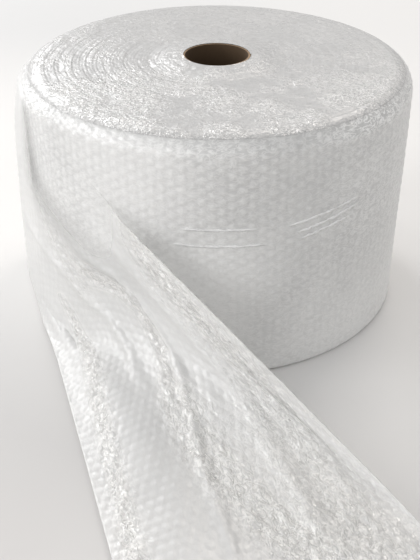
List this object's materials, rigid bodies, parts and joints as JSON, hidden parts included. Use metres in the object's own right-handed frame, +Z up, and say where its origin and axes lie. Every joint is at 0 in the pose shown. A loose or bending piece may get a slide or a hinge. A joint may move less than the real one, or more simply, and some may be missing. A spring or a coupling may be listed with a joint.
{
  "type": "bubble wrap roll",
  "caption": "Roll of small-bubble cushioning wrap on a cardboard tube, standing on its end, with the loose end drawn off and laid on the floor.",
  "frame": {"origin": "on the roll's axis, which is the axis of the core's bore, at the plane the roll stands on", "axes": "+Z up along the roll's axis; -Y towards the side that the loose end is laid out to; +X to the right seen from there"},
  "size_m": [0.4952, 0.89, 0.304],
  "materials": {
    "bubble_film": "clear glossy polythene film over air bubbles, milky white in depth",
    "core_board": "plain brown spiral-wound board, matt"
  },
  "bodies": {
    "root": {"bubble_wrap": "bubble_film", "cardboard_core": "core_board"}
  },
  "joints": []
}
